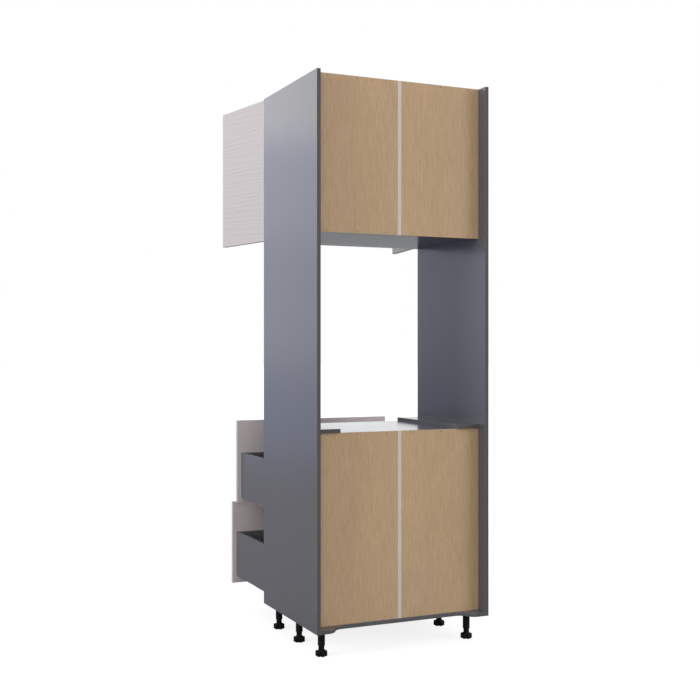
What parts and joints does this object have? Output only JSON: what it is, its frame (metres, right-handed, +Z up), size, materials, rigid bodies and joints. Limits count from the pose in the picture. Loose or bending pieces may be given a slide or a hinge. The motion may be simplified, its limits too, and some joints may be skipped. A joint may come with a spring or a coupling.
{
  "type": "tall oven housing unit",
  "caption": "Tall frameless kitchen unit on levelling legs, with a door cupboard on top, an open-backed oven aperture in the middle and deep drawers below.",
  "frame": {"origin": "on the floor, at the middle of the carcass's width and depth", "axes": "+X to the right as seen from the front, -Y out of the front, +Y to the wall, +Z up"},
  "size_m": [0.888, 1.039, 2.271],
  "materials": {
    "carcass_board": "satin",
    "front_board": "satin",
    "back_board": "matte",
    "strip_plastic": "satin",
    "black_plastic": "satin",
    "zinc_steel": "satin",
    "dowel_timber": "matte"
  },
  "bodies": {
    "carcass": {"side_panel_left": "carcass_board", "side_panel_right": "carcass_board", "top_panel": "carcass_board", "bottom_panel": "carcass_board", "oven_shelf": "carcass_board", "cupboard_floor": "carcass_board", "oven_rail_left": "carcass_board", "oven_rail_right": "carcass_board", "adjustable_shelf": "carcass_board", "back_upper_left": "back_board", "back_upper_right": "back_board", "back_lower_left": "back_board", "back_lower_right": "back_board", "joint_strip_upper": "strip_plastic", "joint_strip_lower": "strip_plastic", "back_nails": "zinc_steel", "rail_screws": "zinc_steel", "shelf_pins": "zinc_steel", "carcass_dowels": "dowel_timber", "leg_front_left": "black_plastic", "leg_middle_left": "black_plastic", "leg_rear_left": "black_plastic", "leg_front_right": "black_plastic", "leg_middle_right": "black_plastic", "leg_rear_right": "black_plastic", "leg_screws": "zinc_steel", "upper_runner_rails": "zinc_steel", "lower_runner_rails": "zinc_steel", "hinge_arms": "zinc_steel", "hinge_pins": "zinc_steel", "hinge_plates": "zinc_steel", "hinge_screws": "zinc_steel"},
    "upper_drawer": {"upper_drawer_front": "front_board", "upper_box_left": "carcass_board", "upper_box_right": "carcass_board", "upper_box_front": "carcass_board", "upper_box_back": "carcass_board", "upper_box_base": "carcass_board", "upper_front_screws": "zinc_steel", "upper_runner_slides": "zinc_steel"},
    "upper_runner_middles": {"upper_runner_middles": "zinc_steel"},
    "lower_drawer": {"lower_drawer_front": "front_board", "lower_box_left": "carcass_board", "lower_box_right": "carcass_board", "lower_box_front": "carcass_board", "lower_box_back": "carcass_board", "lower_box_base": "carcass_board", "lower_front_screws": "zinc_steel", "lower_runner_slides": "zinc_steel"},
    "lower_runner_middles": {"lower_runner_middles": "zinc_steel"},
    "door_left": {"door_left": "front_board", "hinge_cups_left": "zinc_steel"},
    "door_right": {"door_right": "front_board", "hinge_cups_right": "zinc_steel"},
    "foot_front_left": {"foot_front_left": "black_plastic"},
    "foot_middle_left": {"foot_middle_left": "black_plastic"},
    "foot_rear_left": {"foot_rear_left": "black_plastic"},
    "foot_front_right": {"foot_front_right": "black_plastic"},
    "foot_middle_right": {"foot_middle_right": "black_plastic"},
    "foot_rear_right": {"foot_rear_right": "black_plastic"}
  },
  "joints": [
    {"name": "door_left_hinge", "type": "hinge", "parent": "carcass", "child": "door_left", "pos_m": [-0.371, -0.309, 1.9645], "axis": [0, 0, -1], "range_deg": [-100, 0]},
    {"name": "door_right_hinge", "type": "hinge", "parent": "carcass", "child": "door_right", "pos_m": [0.371, -0.309, 1.9645], "axis": [0, 0, 1], "range_deg": [-100, 0]},
    {"name": "upper_drawer_slide", "type": "slide", "parent": "carcass", "child": "upper_drawer", "axis": [0, -1, 0], "range_m": [-0.359, 0.123]},
    {"name": "upper_middle_slide", "type": "slide", "parent": "carcass", "child": "upper_runner_middles", "axis": [0, -1, 0], "range_m": [-0.1795, 0.0615]},
    {"name": "lower_drawer_slide", "type": "slide", "parent": "carcass", "child": "lower_drawer", "axis": [0, -1, 0], "range_m": [-0.425, 0.057]},
    {"name": "lower_middle_slide", "type": "slide", "parent": "carcass", "child": "lower_runner_middles", "axis": [0, -1, 0], "range_m": [-0.2125, 0.0285]},
    {"name": "foot_front_left_screw", "type": "slide", "parent": "carcass", "child": "foot_front_left", "axis": [0, 0, -1], "range_m": [-0.012, 0.02]},
    {"name": "foot_middle_left_screw", "type": "slide", "parent": "carcass", "child": "foot_middle_left", "axis": [0, 0, -1], "range_m": [-0.012, 0.02]},
    {"name": "foot_rear_left_screw", "type": "slide", "parent": "carcass", "child": "foot_rear_left", "axis": [0, 0, -1], "range_m": [-0.012, 0.02]},
    {"name": "foot_front_right_screw", "type": "slide", "parent": "carcass", "child": "foot_front_right", "axis": [0, 0, -1], "range_m": [-0.012, 0.02]},
    {"name": "foot_middle_right_screw", "type": "slide", "parent": "carcass", "child": "foot_middle_right", "axis": [0, 0, -1], "range_m": [-0.012, 0.02]},
    {"name": "foot_rear_right_screw", "type": "slide", "parent": "carcass", "child": "foot_rear_right", "axis": [0, 0, -1], "range_m": [-0.012, 0.02]}
  ],
  "couplings": [
    {"joint": "upper_middle_slide", "follows": "upper_drawer_slide", "ratio": 0.5},
    {"joint": "lower_middle_slide", "follows": "lower_drawer_slide", "ratio": 0.5}
  ]
}
